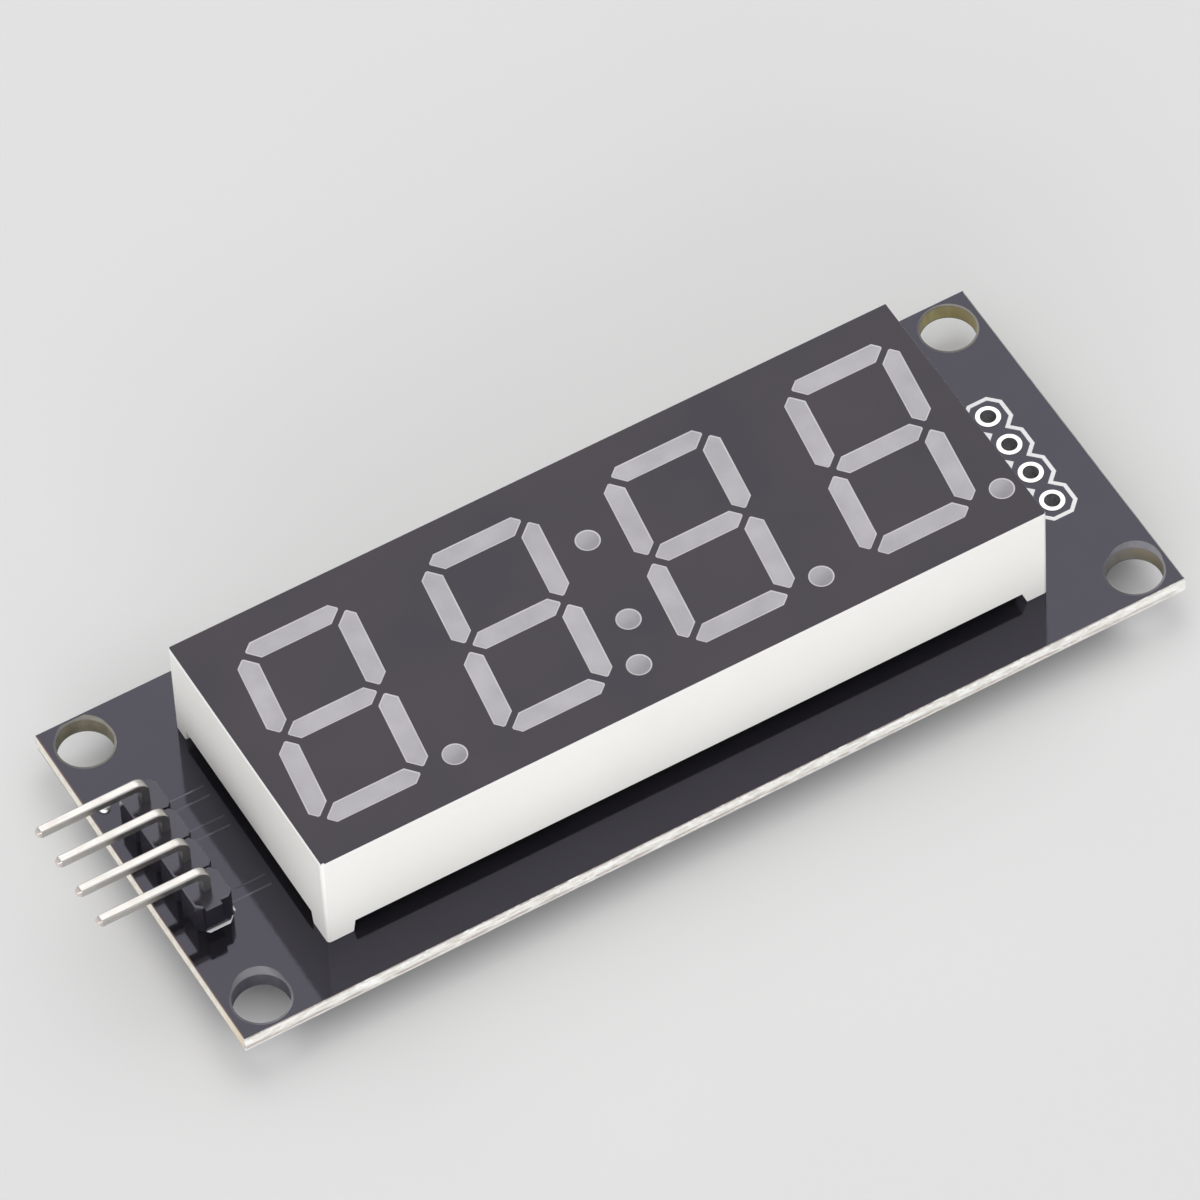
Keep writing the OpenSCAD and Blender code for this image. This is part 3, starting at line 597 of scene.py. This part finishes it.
def finish_piece(name, bm, look):
    bmesh.ops.recalc_face_normals(bm, faces=bm.faces)
    bmesh.ops.scale(bm, vec=(MM, MM, MM), verts=bm.verts)
    mesh = bpy.data.meshes.new(name)
    bm.to_mesh(mesh)
    bm.free()
    obj = bpy.data.objects.new(name, mesh)
    scene.collection.objects.link(obj)
    mesh.materials.append(look)
    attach(obj, "root")
    return obj


def add_loops(bm, loops, ring=True):
    """Skins neighbouring closed loops of points with quads, and joins the last to the first or caps both."""
    rows = [[bm.verts.new(point) for point in loop] for loop in loops]
    count = len(rows[0])
    pairs = list(zip(rows, rows[1:]))
    if ring:
        pairs.append((rows[-1], rows[0]))
    for a, b in pairs:
        for i in range(count):
            j = (i + 1) % count
            bm.faces.new((a[i], a[j], b[j], b[i]))
    if not ring:
        bm.faces.new(rows[0][::-1])
        bm.faces.new(rows[-1])


def inset(outline, depth):
    """A closed counterclockwise outline moved inwards by depth, with mitred corners."""
    moved = []
    for i, point in enumerate(outline):
        here = Vector(point)
        arriving = (here - Vector(outline[i - 1])).normalized()
        leaving = (Vector(outline[(i + 1) % len(outline)]) - here).normalized()
        mitre = Vector((-arriving.y - leaving.y, arriving.x + leaving.x))
        moved.append(tuple(here + mitre * (2 * depth / mitre.length_squared)))
    return moved


def circle(centre, radius, height, steps):
    """Points of a level circle round a centre."""
    angles = [2 * math.pi * i / steps for i in range(steps)]
    return [(centre[0] + radius * math.cos(a), centre[1] + radius * math.sin(a), height) for a in angles]


def lathe(bm, centre, profile, steps=72):
    """A closed ring round a vertical axis; profile holds (radius, height) pairs."""
    add_loops(bm, [circle(centre, radius, height, steps) for radius, height in profile])


def octagon_row(row_x, left_reach):
    """Counterclockwise outline of four octagons side by side along y."""
    half, cut = PITCH / 2, PITCH / 4
    right, left = [], []
    for y in reversed(PIN_YS):
        right += [(row_x + half, y - half + cut), (row_x + half, y + half - cut)]
        if y != PIN_YS[0]:
            right.append((row_x + cut, y + half))
    for y in PIN_YS:
        left += [(row_x - left_reach, y + half - cut), (row_x - left_reach, y - half + cut)]
        if y != PIN_YS[-1]:
            left.append((row_x - cut, y - half))
    back_y, front_y = PIN_YS[0] + half, PIN_YS[-1] - half
    right = [(row_x + cut, front_y)] + right + [(row_x + cut, back_y)]
    return right + [(row_x - cut, back_y)] + left + [(row_x - cut, front_y)]


def printed_outlines():
    """White line round the bare holes and round the header."""
    edge = PRINT_W / 2
    profile = ((-edge, 0.0), (PRINT_SLOPE - edge, PRINT_H), (edge - PRINT_SLOPE, PRINT_H), (edge, 0.0))
    spare = octagon_row(SPARE_X, PITCH / 2)
    header = octagon_row(HEADER_X + HEADER_PRINT_X, PITCH / 2 - HEADER_PRINT_NEAR)
    bm = bmesh.new()
    for outline in (spare, [(x, y + HEADER_PRINT_Y) for x, y in header]):
        add_loops(bm, [[(x, y, height) for x, y in inset(outline, depth)] for depth, height in profile])
    return finish_piece("print_outlines", bm, ink_look())


def hole_rims():
    """The bare edge of the lacquer round the bolt holes, pushed up into a wider lip on one side."""
    steps, depth = 96, 0.07
    wall_r, crest_r, rim_r = HOLE_R - 0.007, HOLE_R + 0.06, HOLE_R + 0.13
    back_profile = ((wall_r, -depth), (wall_r, 0.003), (HOLE_R + 0.08, 0.004), (rim_r, 0.0))
    bm = bmesh.new()
    for (cx, cy), lip, direction in LIPS:
        rows = [[] for _ in range(5)]
        for i in range(steps):
            angle = 2 * math.pi * i / steps
            apart = (angle - math.radians(direction) + math.pi) % (2 * math.pi) - math.pi
            swell = lip * math.cos(1.55 * apart) if abs(apart) < 1.0 else 0.0
            # The rim stays clear of the long edge
            room = (SCORE_Y - 0.02 - abs(cy)) / max(0.05, math.copysign(1.0, cy) * math.sin(angle))
            outer_r = min(rim_r + swell, room)
            high = 0.004 + 0.05 * swell
            wall = ((wall_r, -depth), (wall_r, 0.003))
            profile = (*wall, (crest_r, high), (outer_r - 0.03, high), (outer_r, 0.0))
            for row, (radius, height) in zip(rows, profile):
                row.append((cx + radius * math.cos(angle), cy + radius * math.sin(angle), height))
        add_loops(bm, rows)
        lathe(bm, (cx, cy), [(radius, -BOARD_T - height) for radius, height in back_profile], steps)
    return finish_piece("hole_rims", bm, rim_look())


def board_margins():
    """The thin line along the board's short edges where the lacquer stops short of the cut."""
    sunk, proud, inside = 0.03, 0.003, 0.001
    bm = bmesh.new()
    for side, width in ((-1, 0.07), (1, 0.05)):
        x0, x1 = sorted((side * (BOARD_X - width), side * (BOARD_X - inside)))
        corners = ((x0, -SCORE_Y), (x1, -SCORE_Y), (x1, SCORE_Y), (x0, SCORE_Y))
        for low, high in ((-sunk, proud), (-BOARD_T - proud, sunk - BOARD_T)):
            add_loops(bm, [[(x, y, z) for x, y in corners] for z in (low, high)], ring=False)
    return finish_piece("board_margins", bm, margin_look())


def bead():
    """The drop of solder beside the first pin, a little lopsided where it ran towards the header."""
    steps, rows = 48, 9
    loops = []
    for row in range(rows):
        # The last row is a small flat top
        rise = 0.98 * row / (rows - 1) * math.pi / 2
        loops.append([])
        for i in range(steps):
            angle = 2 * math.pi * i / steps
            lopsided = 1.0 + 0.05 * math.cos(angle + 2.2) + 0.02 * math.sin(3 * angle)
            radius = DROP_R * lopsided * math.cos(rise) ** 0.8
            x, y = DROP_X + radius * math.cos(angle), DROP_Y + radius * math.sin(angle)
            loops[-1].append((x, y, DROP_H * math.sin(rise)))
    bm = bmesh.new()
    add_loops(bm, loops, ring=False)
    piece = finish_piece("solder_drop", bm, NODE_LOOKS["solder_bead"])
    for face in piece.data.polygons:
        face.use_smooth = True
    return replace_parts(piece, "solder_bead")


def track(bm, points, width, high, base=0.0):
    """A raised track under the lacquer of the front, or of the back where base is below 0."""
    away = -1.0 if base < 0 else 1.0
    flank = 0.05
    profile = ((-1.0, 0.0), (-0.85, 0.6), (-0.70, 1.0), (0.70, 1.0), (0.85, 0.6), (1.0, 0.0))
    loops = []
    for i, point in enumerate(points):
        place = Vector(point)
        back = (place - Vector(points[i - 1])).normalized() if i else None
        ahead = (Vector(points[i + 1]) - place).normalized() if i < len(points) - 1 else None
        along = (back + ahead).normalized() if back and ahead else (back or ahead)
        side = Vector((-along.y, along.x))
        # At a bend the mitre is longer than half the width
        stretch = 1.0 / max(0.5, side.dot(Vector((-ahead.y, ahead.x)))) if back and ahead else 1.0
        reach = (width / 2 + flank) * stretch
        corners = [(place + side * (part * reach), away * high * rise) for part, rise in profile]
        loops.append([(corner.x, corner.y, base + height) for corner, height in corners])
    add_loops(bm, loops, ring=False)


def front_tracks(lacquer):
    bm = bmesh.new()
    for y in FRONT_TRACK_YS:
        track(bm, [(x, y) for x in FRONT_TRACK_ENDS], FRONT_TRACK_W, FRONT_TRACK_H)
    return finish_piece("front_tracks", bm, lacquer)


def back_lines(sy):
    """Lines of the back's tracks on one side of its middle, with sy = 1 or -1."""
    lines = []
    pin_y = DISPLAY_PIN_Y + sy * DISPLAY_Y
    # From the chip's leads to the display's pins
    for i, turn_y in enumerate(TURN_YS):
        for sx in (-1, 1):
            lead_x, pin_x = sx * (i + 0.5) * LEAD_PITCH, sx * (i + 0.5) * PITCH
            bend_y = turn_y + abs(pin_x - lead_x)
            lines.append([(lead_x, LEAD_Y), (lead_x, turn_y), (pin_x, bend_y), (pin_x, pin_y)])
    # From the chip's outer leads to the outer holes of both rows
    end_y = PIN_YS[0]
    for sx, row_x in ((-1, HEADER_X), (1, SPARE_X)):
        lead_x, ring_x = sx * 3.5 * LEAD_PITCH, row_x - sx * RING_REACH
        lane = [(lead_x + sx * (LANE_Y - LANE_START_Y), LANE_Y), (ring_x - sx * (LANE_Y - end_y), LANE_Y)]
        lines.append([(lead_x, LEAD_Y), (lead_x, LANE_START_Y), *lane, (ring_x, end_y)])
    # From the header's inner holes through the small parts to the chip
    pin_y, part_y = PIN_YS[1], PART_PITCH
    first, second = CAPACITOR_ENDS, RESISTOR_ENDS
    lines.append([(HEADER_X + RING_REACH, pin_y), (-18.0, pin_y), (-16.67, part_y), (first[0], part_y)])
    lines.append([(first[1], part_y), (-12.75, part_y), (second[0], part_y / 2)])
    lines.append([(second[1], part_y / 2), (-7.2, part_y / 2), (-6.2, 2.3), (-5.0, 2.9)])
    return [[(x, sy * y) for x, y in line] for line in lines]


def back_tracks(lacquer):
    """Tracks under the lacquer of the back, from the chip to the pins of the display and of both rows."""
    bm = bmesh.new()
    for line in back_lines(-1) + back_lines(1):
        track(bm, line, BACK_TRACK_W, BACK_TRACK_H, -BOARD_T)
    return finish_piece("back_tracks", bm, lacquer)


def mirrored(points, sx, sy):
    moved = [(x * sx, y * sy) for x, y in points]
    return moved if sx * sy > 0 else moved[::-1]


def blunted(points):
    """Cuts the points numbered 0 and 3 of the six, which are the ends of a segment."""
    cut = []
    for i, p in enumerate(points):
        if i % 3:
            cut.append(p)
            continue
        for turn in (-1, 1):
            q = points[(i + turn) % 6]
            part = POINT_BLUNT / math.dist(p, q)
            cut.append((p[0] + (q[0] - p[0]) * part, p[1] + (q[1] - p[1]) * part))
    return cut


def segment_outlines():
    """The seven segments of a digit round its middle, as the CAD source draws them."""
    w, h, t, c = DIGIT_W / 2, DIGIT_H / 2, SEG_T, CORNER_CUT
    m = SEG_GAP / math.sqrt(2)
    top = blunted([
        (w - (c + m) / 2, h - (c - m) / 2), (w - c, h), (c - w, h),
        ((c + m) / 2 - w, h - (c - m) / 2), (t + m - w, h - t), (w - t - m, h - t),
    ])
    side = blunted([
        (w - (c - m) / 2, h - (c + m) / 2), (w - t, h - t - m), (w - t, t / 2 + m),
        (w - t / 2, m), (w, t / 2 + m), (w, h - c),
    ])
    middle = blunted([
        (w - t / 2 - m, 0), (w - t - m, t / 2), (t + m - w, t / 2),
        (t / 2 + m - w, 0), (t + m - w, -t / 2), (w - t - m, -t / 2),
    ])
    sides = [mirrored(side, sx, sy) for sx in (-1, 1) for sy in (-1, 1)]
    upright = [top, mirrored(top, 1, -1), middle] + sides
    return [[(x + y * math.tan(LEAN), y) for x, y in points] for points in upright]


def segment_frames():
    """The paler edge round each segment and dot, sloping from the ink down to the resin."""
    profile = [
        (inwards, FACE_Z - sunk)
        for inwards, sunk in ((0.004, 0.028), (0.004, 0.003), (0.045, 0.004), (0.095, 0.017), (0.105, 0.028))
    ]
    dots = [(side * COLON_RISE * math.tan(LEAN), DISPLAY_Y + side * COLON_RISE) for side in (-1, 1)]
    bm = bmesh.new()
    for i in range(4):
        digit_x = (i - 1.5) * DIGIT_PITCH
        dots.append((digit_x + POINT[0], DISPLAY_Y + POINT[1]))
        for points in segment_outlines():
            placed = [(digit_x + x, DISPLAY_Y + y) for x, y in points]
            add_loops(bm, [[(x, y, height) for x, y in inset(placed, depth)] for depth, height in profile])
    for place in dots:
        lathe(bm, place, [(DOT_R - depth, height) for depth, height in profile])
    return finish_piece("segment_frames", bm, frame_look())


printed_outlines()
hole_rims()
board_margins()
bead()
over_copper = track_look()
front_tracks(over_copper)
back_tracks(over_copper)
segment_frames()


# Stage, lamps and camera

FLOOR_R = 1500.0
WORLD_LIGHT, BACKDROP_GREY = 0.65, 0.80
# The camera was fitted to the display's and the board's corners, with its focal length in pixels
PHOTO_PIXELS, FOCAL_PIXELS = 1200.0, 11812.5376
CAMERA_PLACE = Vector((-196.05097, -381.949793, 576.21776))
CAMERA_RIGHT = Vector((0.8658628, -0.49888854, -0.03730727))
CAMERA_DOWN = Vector((-0.41857257, -0.68158432, -0.60019981))
CAMERA_AHEAD = Vector((0.27400476, 0.53530649, -0.79897957))


def make_stage():
    bm = bmesh.new()
    bm.faces.new([bm.verts.new(point) for point in circle((0.0, 0.0), FLOOR_R, cad_box[0].z / MM, 64)])
    bmesh.ops.scale(bm, vec=(MM, MM, MM), verts=bm.verts)
    mesh = bpy.data.meshes.new("floor")
    bm.to_mesh(mesh)
    bm.free()
    obj = bpy.data.objects.new("floor", mesh)
    mesh.materials.append(floor_look())
    scene.collection.objects.link(obj)


def lamp(name, place, aim, size, radiance):
    """A soft box, in metres, whose surface has the given brightness, where 1 is white paper."""
    data = bpy.data.lights.new(name, "AREA")
    data.shape = "RECTANGLE"
    data.size, data.size_y = size
    data.energy = radiance * math.pi * size[0] * size[1]
    obj = bpy.data.objects.new(name, data)
    obj.location = place
    obj.rotation_mode = "QUATERNION"
    obj.rotation_quaternion = (Vector(aim) - Vector(place)).to_track_quat("-Z", "Y")
    obj.visible_camera = False
    scene.collection.objects.link(obj)


def make_world():
    """Even white light from all round, with a pale grey backdrop where the camera sees past the floor."""
    world = bpy.data.worlds.new("studio")
    world.use_nodes = True
    tree = world.node_tree
    tree.nodes.clear()
    out = tree.nodes.new("ShaderNodeOutputWorld")
    path = tree.nodes.new("ShaderNodeLightPath")
    room = tree.nodes.new("ShaderNodeBackground")
    room.inputs["Color"].default_value = (1.0, 1.0, 1.0, 1.0)
    room.inputs["Strength"].default_value = WORLD_LIGHT
    seen = tree.nodes.new("ShaderNodeBackground")
    seen.inputs["Color"].default_value = (BACKDROP_GREY, BACKDROP_GREY, BACKDROP_GREY, 1.0)
    seen.inputs["Strength"].default_value = 1.0
    mix = tree.nodes.new("ShaderNodeMixShader")
    tree.links.new(path.outputs["Is Camera Ray"], mix.inputs[0])
    tree.links.new(room.outputs[0], mix.inputs[1])
    tree.links.new(seen.outputs[0], mix.inputs[2])
    tree.links.new(mix.outputs[0], out.inputs["Surface"])
    scene.world = world


def make_camera():
    """The photograph's own view."""
    data = bpy.data.cameras.new("camera")
    data.sensor_width = 36.0
    data.lens = FOCAL_PIXELS / PHOTO_PIXELS * data.sensor_width
    data.clip_start, data.clip_end = 0.05, 10.0
    data.dof.use_dof = False
    obj = bpy.data.objects.new("camera", data)
    turn = Matrix((CAMERA_RIGHT, -CAMERA_DOWN, -CAMERA_AHEAD)).transposed().to_4x4()
    obj.matrix_world = Matrix.Translation(CAMERA_PLACE * MM) @ turn
    scene.collection.objects.link(obj)
    scene.camera = obj


make_stage()
lamp("box_back", (0.19, 0.37, 0.56), (0.0, 0.0, 0.0), (0.62, 0.56), 1.19)
lamp("box_low", (-0.43, -0.58, 0.19), (0.0, 0.0, 0.004), (0.80, 0.36), 3.05)
make_world()
make_camera()
scene.view_settings.view_transform = "Standard"
